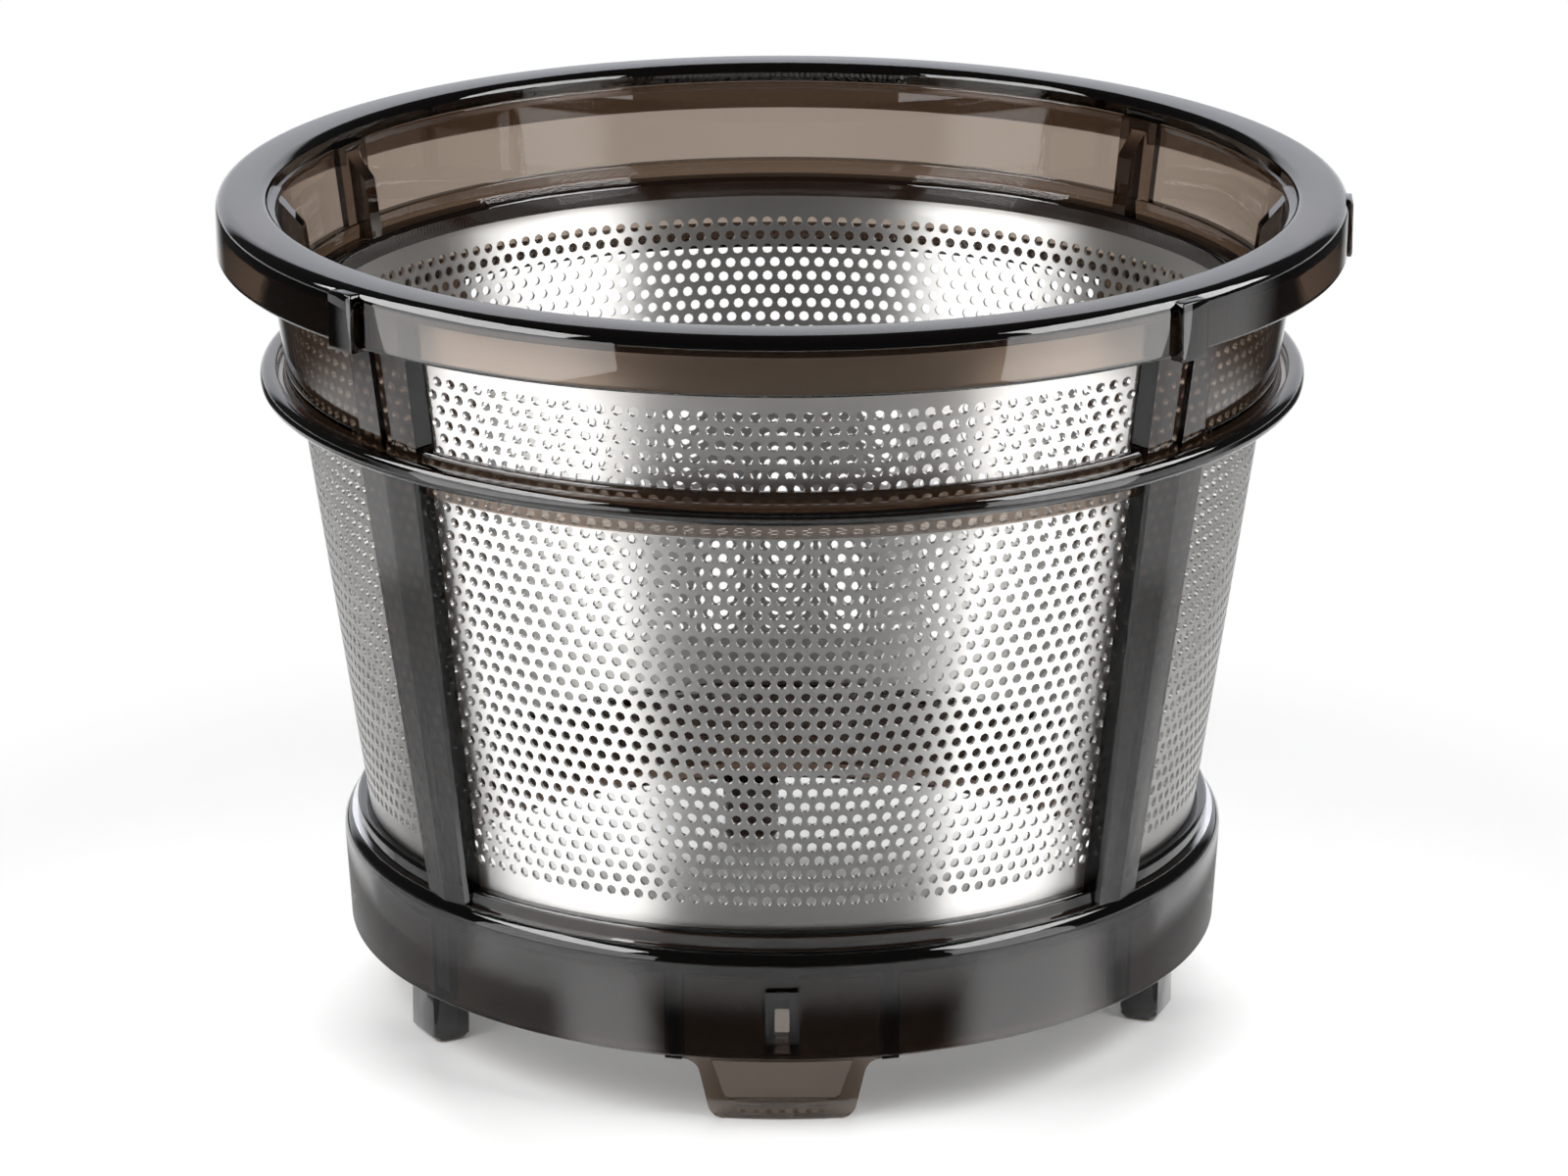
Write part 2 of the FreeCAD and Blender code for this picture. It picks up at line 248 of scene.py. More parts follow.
steel = brushed_screen_steel()
cell = punched_cell()
sheet_tree, sheet_inputs = perforated_sheet_tree()
half_front = FRONT_COLUMNS // 2
for name, first, columns, rows, top in (
    ("screen_front", -half_front, FRONT_COLUMNS, FRONT_ROWS, FRONT_TOP),
    ("screen_back", half_front, COLUMNS_AROUND - FRONT_COLUMNS, BACK_ROWS, BACK_TOP),
):
    blank = bpy.data.objects.new(name + "_blank", bpy.data.meshes.new(name + "_blank"))
    scene.collection.objects.link(blank)
    punch = blank.modifiers.new("perforated_sheet", "NODES")
    punch.node_group = sheet_tree
    for label, value in (
        ("Columns", columns), ("Rows", rows), ("First column", first), ("Columns around", COLUMNS_AROUND),
        ("Row pitch", ROW_PITCH * MM), ("First row", FIRST_ROW * MM), ("Lower edge", SEAT_Z * MM),
        ("Upper edge", top * MM), ("Seat radius", SEAT_R * MM), ("Slope", SLOPE), ("Sheet", SHEET * MM),
        ("Punched cell", cell), ("Steel", steel),
    ):
        punch[sheet_inputs[label]] = value
    piece = settled(blank, name, sharp=50)
    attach(piece, "root")
    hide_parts("mesh_screen")
bpy.data.objects.remove(cell)


# Basket frame
# One injection moulding in smoke-clear plastic, cast round the edges of the steel: flanged rim, thin collar,
# middle ring, uprights and base ring. Gloss from the polished tool; dark only where it is thick.
RIM_R, RIM_INNER_R, TOP_Z, PLATE_Z, SKIRT_Z = 60.0, 53.6, 88.5, 86.3, 82.4
RIM_SET_BACK, SKIRT_SKIN, TURN_STEP = 0.82, 1.5, 1.25
MID_R, MID_Z, MID_UNDER_Z = 55.7, 69.9, 67.7
MID_FOOT_Z, MID_FOOT_RISE, MID_FOOT_SPAN = 65.5, 0.75, 47.5
MID_LIP, MID_MOAT, MID_MOAT_DEPTH, LIP_RISE = 1.1, 1.95, 1.3, 0.7
BASE_R, BASE_FOOT_R, BASE_Z, BASE_TOP_Z, LIP_Z = 48.0, 47.1, 7.5, 19.5, 21.2
BASE_LIP, BASE_MOAT, BASE_MOAT_Z, CORE_Z = 1.3, 1.7, BASE_TOP_Z - 0.9, 16.5
RING_R, BORE_R, RING_FOOT_Z = 44.7, 42.7, 6.4
SKIN, FIT, LAP, CLEAR = 0.95, 0.05, 0.4, 0.03
COLLAR_Z, LEDGE_Z, LEDGE_DEPTH, STEP_BEARING = 68.5, 76.4, 2.8, 94.5
WINDOW, BAR_GAP, BAR_END = 42.4, (47.75, 49.45), 53.4
PAD_BEARINGS, PAD_HALF, PAD_DEPTH, RIB_DEPTH = (-118.0, 132.0), 2.95, 0.78, 2.6
UPRIGHT_BEARINGS = (-48.7, 48.7, 131.3, -131.3)
UPRIGHT_FOOT_W, UPRIGHT_HEAD_W, UPRIGHT_RISE = 6.6, 9.4, 2.0
UPRIGHT_EDGE, UPRIGHT_CREASE = 0.35, 0.4
PANEL, PANEL_SKIN = (-44.6, 40.5), 0.95
WEBS = (
    (-50.3, 1.3, BASE_Z + 0.3), (50.3, 1.3, BASE_Z + 0.3), (-14.0, 0.9, BASE_Z - 0.5),
    (14.0, 0.9, BASE_Z - 0.5), (0.0, 1.8, BASE_Z + 0.3),
)
POCKET_HALF, POCKET_PAD_HALF = 0.75, 1.75
TAB_ROOT, TAB_HEAD, TAB_TOE, TAB_ROUND = 12.6, 8.9, 7.4, 1.7
RECESS_HEAD, RECESS_TOE, RECESS_Z, RECESS_ROUND = 7.4, 5.9, 2.1, 0.8
SLOT_HALF, SLOT_LOW_Z, SLOT_HIGH_Z = 4.7, 0.7, 1.4
FOOT_BEARINGS, FOOT_HALF, FOOT_ROUND = (-61.0, 70.0, 185.0), 3.1, 0.7
FOOT_BACK_R, FOOT_FRONT_R = RING_R - 5.0, RING_R - 0.8
KEYS, KEY_HALF, KEY_ROUND = ((-46.7, 1.0), (42.6, 1.0), (86.5, 0.4)), 1.8, 0.15
KEY_ROOT_R = RIM_R - 0.7


def smoke_clear_plastic():
    """Gloss smoke-clear moulding, with faint haze and flow, and a brown tint that grows with depth."""
    material, tree = new_material("smoke_clear_plastic")
    place = add(tree, "ShaderNodeTexCoord").outputs["Object"]
    haze = add(tree, "ShaderNodeTexNoise", {"Vector": place, "Scale": 70.0, "Detail": 4.0}).outputs[0]
    roughness = add(tree, "ShaderNodeMapRange", {
        "Value": haze, "From Min": 0.35, "From Max": 0.7, "To Min": 0.0, "To Max": 0.05,
    }).outputs[0]
    flow = add(tree, "ShaderNodeTexNoise", {"Vector": place, "Scale": 28.0, "Detail": 1.0}).outputs[0]
    bump = add(tree, "ShaderNodeBump", {"Strength": 0.02, "Distance": 0.0004, "Height": flow}).outputs[0]
    shader = add(tree, "ShaderNodeBsdfPrincipled", {
        "Base Color": (0.96, 0.95, 0.94, 1), "Roughness": roughness, "IOR": 1.58,
        "Transmission Weight": 1.0, "Normal": bump, "Coat Weight": 0.35, "Coat Roughness": 0.02,
    })
    clear = add(tree, "ShaderNodeBsdfTransparent", {"Color": (0.92, 0.92, 0.92, 1)})
    light_path = add(tree, "ShaderNodeLightPath")
    surface = add(tree, "ShaderNodeMixShader", {
        0: light_path.outputs["Is Shadow Ray"], 1: shader.outputs[0], 2: clear.outputs[0],
    })
    smoke = add(tree, "ShaderNodeVolumeAbsorption", {"Color": (0.268, 0.129, 0.0, 1), "Density": 1600.0})
    add(tree, "ShaderNodeOutputMaterial", {"Surface": surface.outputs[0], "Volume": smoke.outputs[0]})
    return material


def eased(points, steps=5):
    """Closed outline in millimetres; a point (a, b, radius) has its corner rounded."""
    corners = []
    for i, point in enumerate(points):
        here = Vector(point[:2])
        if len(point) == 2:
            corners.append(here)
            continue
        u = (Vector(points[i - 1][:2]) - here).normalized()
        v = (Vector(points[(i + 1) % len(points)][:2]) - here).normalized()
        half = u.angle(v) / 2
        centre = here + (u + v).normalized() * (point[2] / math.sin(half))
        start = here + u * (point[2] / math.tan(half)) - centre
        end = here + v * (point[2] / math.tan(half)) - centre
        sweep = math.pi - 2 * half
        for k in range(steps + 1):
            angle = sweep * k / steps
            arm = start * math.sin(sweep - angle) + end * math.sin(angle)
            corners.append(centre + arm / math.sin(sweep))
    return corners


def moulded(name, mesh):
    """Object of a finished skin, with its faces turned outward."""
    mesh_data = bpy.data.meshes.new(name)
    bmesh.ops.remove_doubles(mesh, verts=mesh.verts, dist=1e-7)
    bmesh.ops.recalc_face_normals(mesh, faces=mesh.faces)
    mesh.to_mesh(mesh_data)
    mesh.free()
    return bpy.data.objects.new(name, mesh_data)


def turned(name, points, first=None, last=None):
    """Solid of revolution of an outline (radius, height), whole or between two bearings from the front."""
    outline = eased(points)
    whole = first is None
    first, last = (0.0, 360.0) if whole else (first, last)
    steps = max(2, round((last - first) / TURN_STEP))
    mesh = bmesh.new()
    rings = []
    for k in range(steps if whole else steps + 1):
        turn = math.radians(first + (last - first) * k / steps)
        rings.append([
            mesh.verts.new((r * MM * math.sin(turn), -r * MM * math.cos(turn), z * MM)) for r, z in outline
        ])
    for k in range(steps):
        here, there = rings[k], rings[(k + 1) % len(rings)]
        for i in range(len(outline)):
            mesh.faces.new((here[i - 1], here[i], there[i], there[i - 1]))
    if not whole:
        mesh.faces.new(rings[0])
        mesh.faces.new(rings[-1])
    return moulded(name, mesh)


def skinned(name, rings):
    """Solid through rings of points, in metres, with a flat face at each end."""
    mesh = bmesh.new()
    rings = [[mesh.verts.new(point) for point in ring] for ring in rings]
    for here, there in zip(rings, rings[1:]):
        for i in range(len(here)):
            mesh.faces.new((here[i - 1], here[i], there[i], there[i - 1]))
    mesh.faces.new(rings[0])
    mesh.faces.new(rings[-1])
    return moulded(name, mesh)


def turned_to(bearing):
    """Function that places a point (outward, sideways, height), in millimetres, at a bearing."""
    turn = math.radians(bearing)
    out = Vector((math.sin(turn), -math.cos(turn), 0))
    side = Vector((math.cos(turn), math.sin(turn), 0))
    return lambda a, b, z: (out * a + side * b) * MM + Vector((0, 0, z * MM))


def lofted(name, sections, bearing):
    """Solid through sections (height, (outward, sideways) points), turned to a bearing."""
    spot = turned_to(bearing)
    return skinned(name, [[spot(a, b, z) for a, b in section] for z, section in sections])


def radial(name, points, r0, r1, bearing):
    """Prism along a bearing of an outline (sideways, height), from one radius to another."""
    spot = turned_to(bearing)
    return skinned(name, [[spot(r, b, z) for b, z in eased(points)] for r in (r0, r1)])


def oblong(half, low, high, *rounding):
    """Upright outline (sideways, height), with its corners rounded if a radius is given."""
    return [(b, z, *rounding) for b, z in ((-half, low), (half, low), (half, high), (-half, high))]


def bed(z):
    """Radius of the frame's bed on the steel at a height."""
    return sheet_r(z) + FIT


def wall(name, z0, z1, rise, first, last, dip=0.0):
    """Piece of wall over the steel, from its bed out to a rise over the steel."""
    return turned(name, [
        (bed(z0) - dip, z0), (sheet_r(z0) + rise, z0), (sheet_r(z1) + rise, z1), (bed(z1) - dip, z1),
    ], first, last)


def joined(body, operation, others):
    """Adds or takes away closed shapes, leaving one closed skin."""
    group = bpy.data.collections.new("joined")
    for other in others:
        group.objects.link(other)
    change = body.modifiers.new("joined", "BOOLEAN")
    change.operation = operation
    change.solver = "MANIFOLD"
    change.operand_type = "COLLECTION"
    change.collection = group
    mesh = bpy.data.meshes.new_from_object(body.evaluated_get(bpy.context.evaluated_depsgraph_get()))
    body.modifiers.clear()
    body.data = mesh
    for other in others:
        bpy.data.objects.remove(other)
    bpy.data.collections.remove(group)


rim = turned("rim", [
    (RIM_INNER_R + RIM_SET_BACK, PLATE_Z), (RIM_INNER_R + RIM_SET_BACK, TOP_Z, 0.95), (RIM_R, TOP_Z, 1.3),
    (RIM_R, SKIRT_Z, 0.4), (RIM_R - SKIRT_SKIN, SKIRT_Z, 0.4), (RIM_R - SKIRT_SKIN, PLATE_Z, 0.5),
])
pieces = [turned("sheet_cover", [
    (RIM_INNER_R, PLATE_Z + 0.01, 0.1), (RIM_INNER_R, PLATE_Z + 0.7, 0.3),
    (RIM_INNER_R + 1.2, PLATE_Z + 0.9), (RIM_INNER_R + 1.2, PLATE_Z + 0.01),
], -STEP_BEARING - 0.5, STEP_BEARING + 0.5)]

# Collar with the open window at the front, the bars at its sides, and the ledge, borders and ribs inside
pieces.append(wall("collar", COLLAR_Z, PLATE_Z + LAP, SKIN, WINDOW + 1.5, 358.5 - WINDOW))
for hand in (-1, 1):
    ends = sorted((hand * BAR_GAP[1], hand * BAR_END))
    pieces.append(wall("bar", COLLAR_Z, PLATE_Z + 0.3, SKIN + 0.7, *ends, dip=-CLEAR))
    sections = []
    for z in (COLLAR_Z, PLATE_Z + 0.3):
        inner, outer = bed(z) + 0.02, sheet_r(z) + SKIN + 0.6
        half = inner * math.tan(math.radians((BAR_GAP[0] - WINDOW) / 2))
        sag = inner - math.sqrt(inner * inner - half * half)
        sections.append((z, [(r, hand * b) for r, b in (
            (inner - sag, -half), (inner - sag + 0.25, -half), (outer - 0.1, -half + 1.3), (outer, 0),
            (outer - 0.1, half), (inner - sag, half), (inner, 0),
        )]))
    pieces.append(lofted("window_bar", sections, hand * (WINDOW + BAR_GAP[0]) / 2))
pieces.append(turned("ledge", [
    (sheet_r(BACK_TOP) - LEDGE_DEPTH, BACK_TOP, 0.3), (sheet_r(BACK_TOP) - LEDGE_DEPTH, LEDGE_Z, 0.5),
    (sheet_r(LEDGE_Z) + LAP, LEDGE_Z), (sheet_r(BACK_TOP) + LAP, BACK_TOP),
], STEP_BEARING, 360 - STEP_BEARING))
for low, high, face in (
    (LEDGE_Z - 0.2, LEDGE_Z + 1.6, bed(LEDGE_Z) - 0.8), (PLATE_Z - 0.7, PLATE_Z + 0.3, RIM_INNER_R + 0.55),
):
    pieces.append(turned("border", [
        (face, low, 0.2), (bed(low) + LAP, low), (bed(high) + LAP, high), (face, high, 0.2),
    ], STEP_BEARING + 0.02, 360 - STEP_BEARING - 0.02))
low, knee, high = LEDGE_Z - 0.4, PLATE_Z - 3.4, PLATE_Z - 0.4
rib_profile = eased([
    (bed(low) + 0.5, low), (bed(low) - RIB_DEPTH, low), (bed(knee) - RIB_DEPTH, knee, 0.8),
    (bed(high) - 0.4, high, 0.5), (bed(high) + 0.4, high),
])
for bearing in (-STEP_BEARING - 0.4, STEP_BEARING + 0.4) + PAD_BEARINGS:
    spot = turned_to(bearing)
    pieces.append(skinned("rib", [[spot(r, side, z) for r, z in rib_profile] for side in (-1.0, 1.0)]))
for bearing in PAD_BEARINGS:
    pieces.append(turned("pad", [
        (bed(LEDGE_Z) - PAD_DEPTH, LEDGE_Z - 0.3), (bed(LEDGE_Z) + LAP, LEDGE_Z - 0.3),
        (bed(PLATE_Z) + LAP, PLATE_Z + 0.35), (bed(PLATE_Z) - PAD_DEPTH, PLATE_Z + 0.35),
    ], bearing - PAD_HALF, bearing + PAD_HALF))

# Middle ring: rounded nose, a moat between the nose and the lip on the steel, and a thin foot at the front
pieces.append(turned("middle_ring", [
    (bed(MID_UNDER_Z) + 0.01, MID_UNDER_Z, 0.2), (MID_R, MID_UNDER_Z, 0.95), (MID_R, MID_Z, 0.95),
    (sheet_r(MID_Z) + MID_MOAT, MID_Z, 0.3), (sheet_r(MID_Z) + MID_MOAT, MID_Z - MID_MOAT_DEPTH, 0.3),
    (sheet_r(MID_Z) + MID_LIP, MID_Z - MID_MOAT_DEPTH, 0.3),
    (sheet_r(MID_Z) + MID_LIP, MID_Z + LIP_RISE, 0.4),
    (bed(MID_Z + LIP_RISE) + 0.01, MID_Z + LIP_RISE, 0.1),
]))
pieces.append(wall(
    "ring_foot", MID_FOOT_Z, MID_UNDER_Z + 0.3, MID_FOOT_RISE, -MID_FOOT_SPAN, MID_FOOT_SPAN, dip=-CLEAR,
))

# Uprights between the middle ring and the base ring, creased down the face
for bearing in UPRIGHT_BEARINGS:
    sections = []
    for z, width in ((BASE_MOAT_Z, UPRIGHT_FOOT_W), (MID_UNDER_Z + 0.5, UPRIGHT_HEAD_W)):
        half = width / 2
        inner, outer = bed(z) + 0.02, sheet_r(z) + UPRIGHT_RISE
        sag = inner - math.sqrt(inner * inner - half * half)
        sections.append((z, [
            (inner - sag, -half), (outer - UPRIGHT_EDGE, -half), (outer, -half + UPRIGHT_EDGE),
            (outer + UPRIGHT_CREASE, 0), (outer, half - UPRIGHT_EDGE), (outer - UPRIGHT_EDGE, half),
            (inner - sag, half), (inner - sag * 0.25, half * 0.5), (inner, 0),
            (inner - sag * 0.25, -half * 0.5),
        ]))
    pieces.append(lofted("upright", sections, bearing))

# Base ring, cored from below, with webs across the channel
pieces.append(turned("base_ring", [
    (BORE_R, RING_FOOT_Z, 0.3), (BORE_R, SEAT_Z, 0.3), (bed(SEAT_Z) + 0.01, SEAT_Z),
    (bed(LIP_Z) + 0.01, LIP_Z, 0.1), (sheet_r(LIP_Z) + BASE_LIP, LIP_Z, 0.5),
    (sheet_r(LIP_Z) + BASE_LIP, BASE_MOAT_Z, 0.15), (sheet_r(LIP_Z) + BASE_MOAT, BASE_MOAT_Z, 0.15),
    (sheet_r(LIP_Z) + BASE_MOAT, BASE_TOP_Z, 0.2), (BASE_R - 0.2, BASE_TOP_Z, 1.6),
    (BASE_FOOT_R, BASE_Z, 0.35), (BASE_FOOT_R - 1.3, BASE_Z, 0.35), (BASE_FOOT_R - 1.2, CORE_Z, 0.4),
    (RING_R, CORE_Z, 0.4), (RING_R, RING_FOOT_Z, 0.3),
]))
for bearing, half, foot in WEBS:
    pieces.append(radial("web", oblong(half, foot, CORE_Z + LAP), RING_R - 0.4, BASE_FOOT_R - 0.65, bearing))
pocket_pad = oblong(POCKET_PAD_HALF, BASE_Z + 2.3, BASE_Z + 8.0, 0.3)
pieces.append(radial("pocket_pad", pocket_pad, RING_R + 0.5, BASE_R + 0.15, 0))

# Front tab, block feet and keys
tab = radial("tab", [
    (-TAB_ROOT, RING_FOOT_Z + 0.4), (-TAB_ROOT, RING_FOOT_Z), (-TAB_HEAD, RING_FOOT_Z, TAB_ROUND),
    (-TAB_TOE, 0, TAB_ROUND), (TAB_TOE, 0, TAB_ROUND), (TAB_HEAD, RING_FOOT_Z, TAB_ROUND),
    (TAB_ROOT, RING_FOOT_Z), (TAB_ROOT, RING_FOOT_Z + 0.4),
], BORE_R + 0.3, RING_R + 2, 0)
pieces.append(tab)
tab_disc = turned("tab_disc", [(0.001, -1), (RING_R - 0.01, -1, 0.6), (RING_R - 0.01, 8), (0.001, 8)])
recess = radial("recess", [
    (-RECESS_HEAD, RING_FOOT_Z), (-RECESS_TOE, RECESS_Z, RECESS_ROUND),
    (RECESS_TOE, RECESS_Z, RECESS_ROUND), (RECESS_HEAD, RING_FOOT_Z),
], RING_R - 1.0, RING_R + 3, 0)
slot = radial("slot", oblong(SLOT_HALF, SLOT_LOW_Z, SLOT_HIGH_Z), RING_R - 1.1, RING_R + 3, 0)
for bearing in FOOT_BEARINGS:
    sections = []
    for z, inset in ((0.0, 0.7), (0.2, 0.3), (0.7, 0.0), (RING_FOOT_Z + 0.4, 0.0)):
        back, front, half = FOOT_BACK_R + inset, FOOT_FRONT_R - inset, FOOT_HALF - inset
        corners = [(back, -half), (front, -half), (front, half), (back, half)]
        sections.append((z, eased([(*corner, FOOT_ROUND) for corner in corners], 4)))
    pieces.append(lofted("foot", sections, bearing))
for bearing, rise in KEYS:
    sections = []
    for z, inset in (
        (SKIRT_Z - 0.5, 0.35), (SKIRT_Z - 0.38, 0.1), (SKIRT_Z, 0.0),
        (TOP_Z - 0.8, 0.0), (TOP_Z - 0.48, 0.12), (TOP_Z - 0.4, 0.35),
    ):
        face, half = RIM_R + rise - inset, KEY_HALF - inset
        sections.append((z, eased([
            (KEY_ROOT_R, -half), (face, -half, KEY_ROUND), (face, half, KEY_ROUND), (KEY_ROOT_R, half),
        ], 4)))
    pieces.append(lofted("key", sections, bearing))

# Cuts: the thin panel in the front of the skirt, and the pocket through the base ring
thinning = turned("thinning", [
    (RIM_R - 2.2, SKIRT_Z - 0.5), (RIM_R - 0.45, SKIRT_Z - 0.5), (RIM_R - 0.45, SKIRT_Z),
    (RIM_R - PANEL_SKIN, SKIRT_Z + 0.5, 0.3), (RIM_R - PANEL_SKIN, PLATE_Z + 0.7, 0.2),
    (RIM_R - 1.6, PLATE_Z + 0.7, 0.2), (RIM_R - 1.6, PLATE_Z - 0.2, 0.2), (RIM_R - 2.2, PLATE_Z - 0.2),
], *PANEL)
pocket = radial(
    "pocket", oblong(POCKET_HALF, BASE_Z + 2.9, BASE_Z + 6.2, 0.2), RING_R + 1.0, BASE_R + 2, 0,
)
pocket_back = radial(
    "pocket_back", oblong(POCKET_HALF, BASE_Z + 0.7, BASE_Z + 6.0), BORE_R + 0.35, RING_R + 1.6, 0,
)

workbench = bpy.data.collections.new("workbench")
scene.collection.children.link(workbench)
for piece in [rim, tab_disc, recess, slot, pocket, pocket_back, thinning] + pieces:
    workbench.objects.link(piece)
joined(tab, "INTERSECT", [tab_disc])
joined(tab, "DIFFERENCE", [recess, slot])
joined(rim, "DIFFERENCE", [thinning])
joined(rim, "UNION", pieces)
joined(rim, "DIFFERENCE", [pocket, pocket_back])
basket = settled(rim, "basket_frame_moulding", sharp=35)
basket.data.materials.clear()
basket.data.materials.append(smoke_clear_plastic())
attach(basket, "root")
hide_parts("basket_frame")


# Studio
# A white table and backdrop, an upright softbox close on each side, and a card on the table that only
# reflections
# see, which paints them: a painted grey middle between the steel's bright bands, painted dark reflections
# that keep the gloss plastic dark, and glowing patches of painted sheen on the base ring.
# Card bearings are in degrees about its apex, its reaches in metres from the axis, softboxes in millimetres.
CARD_APEX_Y, CARD_NEAR, CARD_FAR = -0.027, 0.07, 0.2
CARD_FRONT, CARD_GAPS, PAINTED_SHEEN_REACH = (-38.0, 50.0), ((-58.0, -38.0), (52.0, 84.0)), (0.08, 0.1)
CARD_SIDES, CARD_SIDES_REACH = ((-118.0, -82.0), (78.0, 104.0)), (0.136, 0.15)
CARD_ASIDE, CARD_ASIDE_REACH = ((-155.0, -92.0), (107.0, 155.0)), (0.18, 0.22)
CARD_INNER_R, CARD_OUTER_R, CARD_Z, CARD_STEPS = 0.049, 0.9, 0.0002, 48
GROUND_SEEN, GROUND_MIRRORED, TABLE_HALF = (0.075, 0.125), (0.105, 0.165), 4
BOX_X, BOX_FOOT_Z, BOX_SPLIT_Z, BOX_TOP_Z = 140.0, 12.0, 112.0, 232.0
BACKDROP_Y, BACKDROP_Z = (0.78, 0.88), (0.42, 0.5)


def smooth_step(tree, value, low, high, first=0.0, last=1.0):
    """Runs smoothly from one number to another while a value passes through a range."""
    return add(tree, "ShaderNodeMapRange", {
        "Value": value, "From Min": low, "From Max": high, "To Min": first, "To Max": last,
    }, interpolation_type="SMOOTHSTEP").outputs[0]


def between(tree, value, low, high, soft):
    """1 inside a range and 0 outside it, with soft edges."""
    return calc(
        tree, "MULTIPLY", smooth_step(tree, value, low - soft, low + soft),
        smooth_step(tree, value, high - soft, high + soft, 1.0, 0.0),
    )


def distance(tree, x, y):
    """Distance of a place from the axis."""
    return calc(tree, "SQRT", calc(
        tree, "ADD", calc(tree, "MULTIPLY", x, x), calc(tree, "MULTIPLY", y, y),
    ))


def white_table():
    """Matt white paper with a faint mottle, which takes the shadow and runs out into plain white."""
    material, tree = new_material("white_table")
    place = add(tree, "ShaderNodeTexCoord").outputs["Object"]
    axes = add(tree, "ShaderNodeSeparateXYZ", {0: place}).outputs
    mottle = add(tree, "ShaderNodeTexNoise", {"Vector": place, "Scale": 12.0, "Detail": 2.0}).outputs[0]
    tone = add(tree, "ShaderNodeMix", {
        0: mottle, 6: (0.93, 0.93, 0.93, 1), 7: (0.95, 0.95, 0.95, 1),
    }, data_type="RGBA").outputs[2]
    paper = add(tree, "ShaderNodeBsdfDiffuse", {"Color": tone})
    ground = add(tree, "ShaderNodeEmission", {"Strength": 1.0})
    rays = add(tree, "ShaderNodeLightPath").outputs
    reach = distance(tree, axes["X"], axes["Y"])
    seen = calc(
        tree, "MULTIPLY", calc(tree, "MAXIMUM", rays["Is Camera Ray"], rays["Is Transmission Ray"]),
        smooth_step(tree, reach, *GROUND_SEEN),
    )
    mirrored = calc(tree, "MULTIPLY", rays["Is Glossy Ray"], smooth_step(tree, reach, *GROUND_MIRRORED))
    surface = add(tree, "ShaderNodeMixShader", {
        0: calc(tree, "MAXIMUM", seen, mirrored), 1: paper.outputs[0], 2: ground.outputs[0],
    })
    add(tree, "ShaderNodeOutputMaterial", {"Surface": surface.outputs[0]})
    return material


def dark_card():
    """Sheet seen only in reflections: painted grey reflection ahead, painted sheen on each side, painted
    dark beyond.
    """
    material, tree = new_material("dark_card")
    place = add(tree, "ShaderNodeTexCoord").outputs["Object"]
    axes = add(tree, "ShaderNodeSeparateXYZ", {0: place}).outputs
    ahead = calc(tree, "SUBTRACT", CARD_APEX_Y, axes["Y"])
    bearing = calc(tree, "DEGREES", calc(tree, "ARCTAN2", axes["X"], ahead))
    reach = distance(tree, axes["X"], axes["Y"])
    # Painted reflection: a grey field ahead of the object, which the middle of the steel mirrors instead of
    # the lit table
    front = between(tree, bearing, *CARD_FRONT, 7.0)
    gaps = calc(tree, "ADD", *(between(tree, bearing, *gap, 6.0) for gap in CARD_GAPS))
    near = smooth_step(tree, reach, CARD_NEAR - 0.006, CARD_NEAR + 0.006, 1.0, 0.0)
    # Painted sheen: patches in the gaps close to the object glow, so the base ring shows sheen in reflection
    painted_sheen = calc(tree, "MULTIPLY", gaps, smooth_step(tree, reach, *PAINTED_SHEEN_REACH, 1.0, 0.0))
    # Painted dark reflection: a strip close to the object, outside the gaps, that darkens what the uprights
    # mirror
    beside = calc(tree, "MULTIPLY", calc(tree, "MULTIPLY", near, 0.75), calc(tree, "SUBTRACT", 1.0, gaps))
    # Painted dark reflections: wedges far out at the sides, which keep the sides of the skirt dark
    aside = calc(tree, "ADD", *(between(tree, bearing, *side, 8.0) for side in CARD_ASIDE))
    aside = calc(tree, "MULTIPLY", aside, smooth_step(tree, reach, *CARD_ASIDE_REACH))
    # Painted darker reflections: strips at the sides, close in, which darken the uprights
    sides = calc(tree, "ADD", *(between(tree, bearing, *side, 4.0) for side in CARD_SIDES))
    sides = calc(tree, "MULTIPLY", sides, smooth_step(tree, reach, *CARD_SIDES_REACH, 0.6, 0.0))
    field = between(tree, reach, CARD_NEAR + 0.006, CARD_FAR, 0.01)
    field = calc(tree, "MULTIPLY", field, calc(tree, "SUBTRACT", 1.0, sides))
    tone = add(tree, "ShaderNodeMix", {
        0: field, 6: (0.04, 0.04, 0.04, 1), 7: (0.58, 0.58, 0.58, 1),
    }, data_type="RGBA").outputs[2]
    card = add(tree, "ShaderNodeBsdfDiffuse", {"Color": tone})
    clear = add(tree, "ShaderNodeBsdfTransparent")
    cover = calc(tree, "MAXIMUM", calc(tree, "MAXIMUM", front, beside), calc(tree, "MAXIMUM", aside, sides))
    surface = add(tree, "ShaderNodeMixShader", {0: cover, 1: clear.outputs[0], 2: card.outputs[0]})
    # An emission that only reflections see and that is no lamp: painted sheen
    panel = add(tree, "ShaderNodeEmission", {"Strength": 1.9})
    surface = add(tree, "ShaderNodeMixShader", {0: painted_sheen, 1: surface.outputs[0], 2: panel.outputs[0]})
    add(tree, "ShaderNodeOutputMaterial", {"Surface": surface.outputs[0]})
    return material


def stage_sheet(name, corners, faces, material):
    """Sheet of the studio, which is no part of the object."""
    mesh = bpy.data.meshes.new(name)
    mesh.from_pydata(corners, [], faces)
    mesh.materials.append(material)
    sheet = bpy.data.objects.new(name, mesh)
    scene.collection.objects.link(sheet)
    return sheet


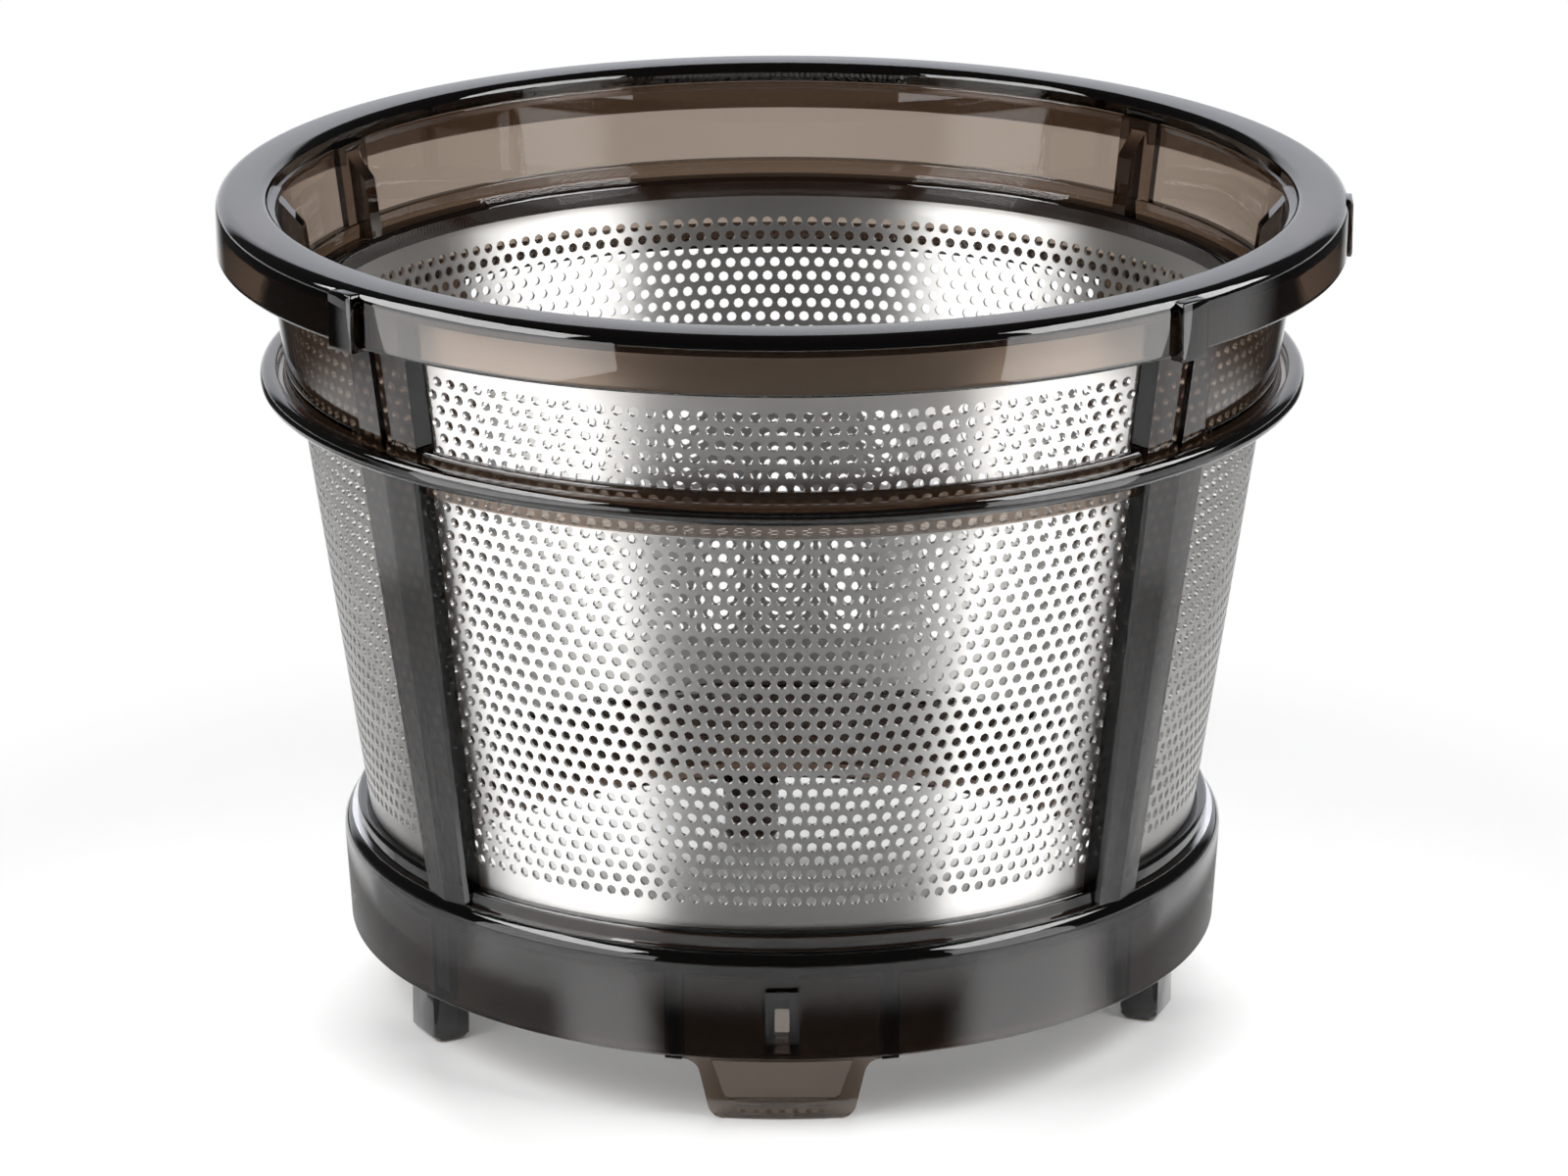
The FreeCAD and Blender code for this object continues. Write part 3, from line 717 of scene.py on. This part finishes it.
def softbox(name, x, y0, y1, low, high, radiance):
    """Upright light panel beside the object, facing it, with its edges in millimetres."""
    data = bpy.data.lights.new(name, "AREA")
    data.shape = "RECTANGLE"
    data.size = (y1 - y0) * MM
    data.size_y = (high - low) * MM
    data.energy = math.pi * data.size * data.size_y * radiance
    box = bpy.data.objects.new(name, data)
    box.location = (x * MM, (y0 + y1) / 2 * MM, (low + high) / 2 * MM)
    box.rotation_euler = (math.radians(90), 0, math.radians(-90 if x < 0 else 90))
    box.visible_camera = False
    scene.collection.objects.link(box)


table_corners = [(x * TABLE_HALF, y * TABLE_HALF, 0) for x, y in ((-1, -1), (1, -1), (1, 1), (-1, 1))]
stage_sheet("table", table_corners, [(0, 1, 2, 3)], white_table())
card_turns = [2 * math.pi * k / CARD_STEPS for k in range(CARD_STEPS)]
card_corners = [
    (r * math.sin(turn), -r * math.cos(turn), CARD_Z)
    for r in (CARD_INNER_R, CARD_OUTER_R) for turn in card_turns
]
card_faces = []
for k in range(CARD_STEPS):
    after = (k + 1) % CARD_STEPS
    card_faces.append((k, CARD_STEPS + k, CARD_STEPS + after, after))
# A sheet that only reflections see, painting reflections onto the steel and plastic; it casts no shadow and
# lights nothing
card = stage_sheet("dark_card", card_corners, card_faces, dark_card())
card.visible_camera = False
card.visible_transmission = False
card.visible_diffuse = False
card.visible_shadow = False

# Each softbox is three panels, each narrower than the last, so that its light falls off towards the sides,
# with one stronger panel on top that lights the inside of the steel over the rim
for name, x, y0, y1, step, radiance in (
    ("left_box", -BOX_X, -250.0, -48.0, 35.0, 2.0), ("right_box", BOX_X, -175.0, -58.0, 18.0, 2.2),
):
    for k in range(3):
        softbox(name, x, y0 + step * k, y1 - 12.0 * k, BOX_FOOT_Z + 6.0 * k, BOX_SPLIT_Z, radiance)
softbox("left_top_box", -BOX_X, -184.0, -7.0, BOX_SPLIT_Z, BOX_TOP_Z, 7.2)
softbox("right_top_box", BOX_X, -150.0, 8.0, BOX_SPLIT_Z, BOX_TOP_Z, 7.2)

# A broad lamp behind lights the table only
table_light_data = bpy.data.lights.new("table_light", "AREA")
table_light_data.shape = "RECTANGLE"
table_light_data.size = 2.0
table_light_data.size_y = 1.0
table_light_data.energy = 83.0
table_light = bpy.data.objects.new("table_light", table_light_data)
table_light.location = (0, 2.2, 1.3)
table_light.rotation_euler = (math.radians(-59.4), 0, 0)
table_light.visible_camera = False
table_light.visible_glossy = False
table_light.visible_transmission = False
scene.collection.objects.link(table_light)

# The room is dim, with a pale backdrop behind the object; the picture and the clear plastic see plain white
world = bpy.data.worlds.new("studio")
scene.world = world
world.use_nodes = True
tree = world.node_tree
tree.nodes.clear()
light_path = add(tree, "ShaderNodeLightPath").outputs
direction = add(tree, "ShaderNodeTexCoord").outputs["Generated"]
toward = add(tree, "ShaderNodeSeparateXYZ", {0: direction}).outputs
behind = smooth_step(tree, toward["Y"], *BACKDROP_Y)
below = smooth_step(tree, toward["Z"], *BACKDROP_Z, 1.0, 0.0)
room = add(tree, "ShaderNodeMix", {
    0: calc(tree, "MULTIPLY", behind, below), 6: (0.05, 0.05, 0.05, 1), 7: (0.86, 0.88, 0.94, 1),
}, data_type="RGBA").outputs[2]
lit = add(tree, "ShaderNodeBackground", {"Color": room, "Strength": 1.0})
plain = add(tree, "ShaderNodeBackground", {"Color": (1, 1, 1, 1), "Strength": 1.0})
seen = calc(tree, "MAXIMUM", light_path["Is Camera Ray"], light_path["Is Transmission Ray"])
view = add(tree, "ShaderNodeMixShader", {0: seen, 1: lit.outputs[0], 2: plain.outputs[0]})
add(tree, "ShaderNodeOutputWorld", {"Surface": view.outputs[0]})

# The photograph's view: a long lens from the front and a little above
camera_data = bpy.data.cameras.new("camera")
camera_data.sensor_width = 36.0
camera_data.lens = 151.65
camera = bpy.data.objects.new("camera", camera_data)
camera.location = (0.0002, -0.6795, 0.2644)
camera.rotation_euler = (math.radians(71.99), 0, 0)
scene.collection.objects.link(camera)
scene.camera = camera
